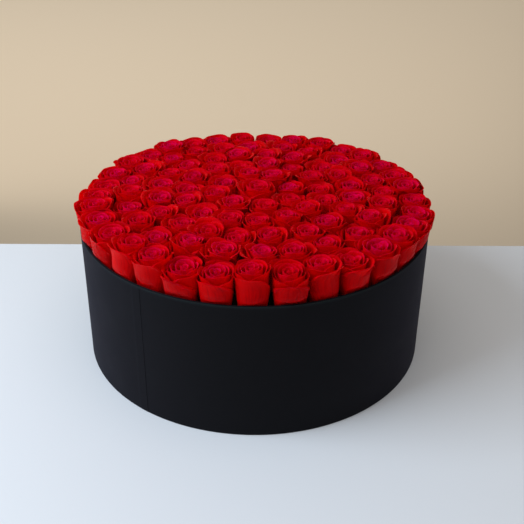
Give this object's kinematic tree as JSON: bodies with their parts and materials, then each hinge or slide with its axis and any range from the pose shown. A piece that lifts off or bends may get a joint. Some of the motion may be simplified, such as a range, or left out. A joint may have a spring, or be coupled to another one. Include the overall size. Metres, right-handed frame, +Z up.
{
  "type": "flower box",
  "caption": "Round paper-covered hat box packed with upright red roses in floral foam, on a waterproof dish that lifts out of the box.",
  "frame": {"origin": "centre of the box's underside, on the surface it stands on", "axes": "+Z up along the axis of the box; the front of the box faces -Y, with the wrap's seam to the left of it"},
  "size_m": [0.45, 0.45, 0.2229],
  "materials": {
    "greyboard": "matte",
    "wrap_black": "satin",
    "base_black": "matte",
    "lining_black": "matte",
    "dish_plastic": "satin",
    "foam_green": "matte",
    "petal_red": "satin",
    "sepal_green": "matte",
    "stem_green": "satin"
  },
  "bodies": {
    "box": {"wall_tube": "greyboard", "wrap_paper": "wrap_black", "lining_paper": "lining_black", "base_board": "greyboard", "base_lining": "lining_black", "base_paper": "base_black"},
    "insert": {"calyx_centre": "sepal_green", "calyxes_ring1": "sepal_green", "calyxes_ring2": "sepal_green", "calyxes_ring3": "sepal_green", "calyxes_ring4": "sepal_green", "calyxes_ring5": "sepal_green", "foam_brick_row1_left": "foam_green", "foam_brick_row1_right": "foam_green", "foam_brick_row2_left": "foam_green", "foam_brick_row2_right": "foam_green", "foam_brick_row3_left": "foam_green", "foam_brick_row3_right": "foam_green", "foam_brick_row4_left": "foam_green", "foam_brick_row4_right": "foam_green", "liner_dish": "dish_plastic", "rose_heads_centre": "petal_red", "rose_heads_ring1_back": "petal_red", "rose_heads_ring1_front": "petal_red", "rose_heads_ring1_left": "petal_red", "rose_heads_ring1_right": "petal_red", "rose_heads_ring2_back": "petal_red", "rose_heads_ring2_front": "petal_red", "rose_heads_ring2_left": "petal_red", "rose_heads_ring2_right": "petal_red", "rose_heads_ring3_back": "petal_red", "rose_heads_ring3_front": "petal_red", "rose_heads_ring3_left": "petal_red", "rose_heads_ring3_right": "petal_red", "rose_heads_ring4_back": "petal_red", "rose_heads_ring4_front": "petal_red", "rose_heads_ring4_left": "petal_red", "rose_heads_ring4_right": "petal_red", "rose_heads_ring5": "petal_red", "stems_centre": "stem_green", "stems_ring1_back": "stem_green", "stems_ring1_front": "stem_green", "stems_ring1_left": "stem_green", "stems_ring1_right": "stem_green", "stems_ring2_back": "stem_green", "stems_ring2_front": "stem_green", "stems_ring2_left": "stem_green", "stems_ring2_right": "stem_green", "stems_ring3_back": "stem_green", "stems_ring3_front": "stem_green", "stems_ring3_left": "stem_green", "stems_ring3_right": "stem_green", "stems_ring4_back": "stem_green", "stems_ring4_front": "stem_green", "stems_ring4_left": "stem_green", "stems_ring4_right": "stem_green", "stems_ring5": "stem_green"}
  },
  "joints": [
    {"name": "insert_lift", "type": "slide", "parent": "box", "child": "insert", "axis": [0, 0, 1], "range_m": [0, 0.2]}
  ]
}
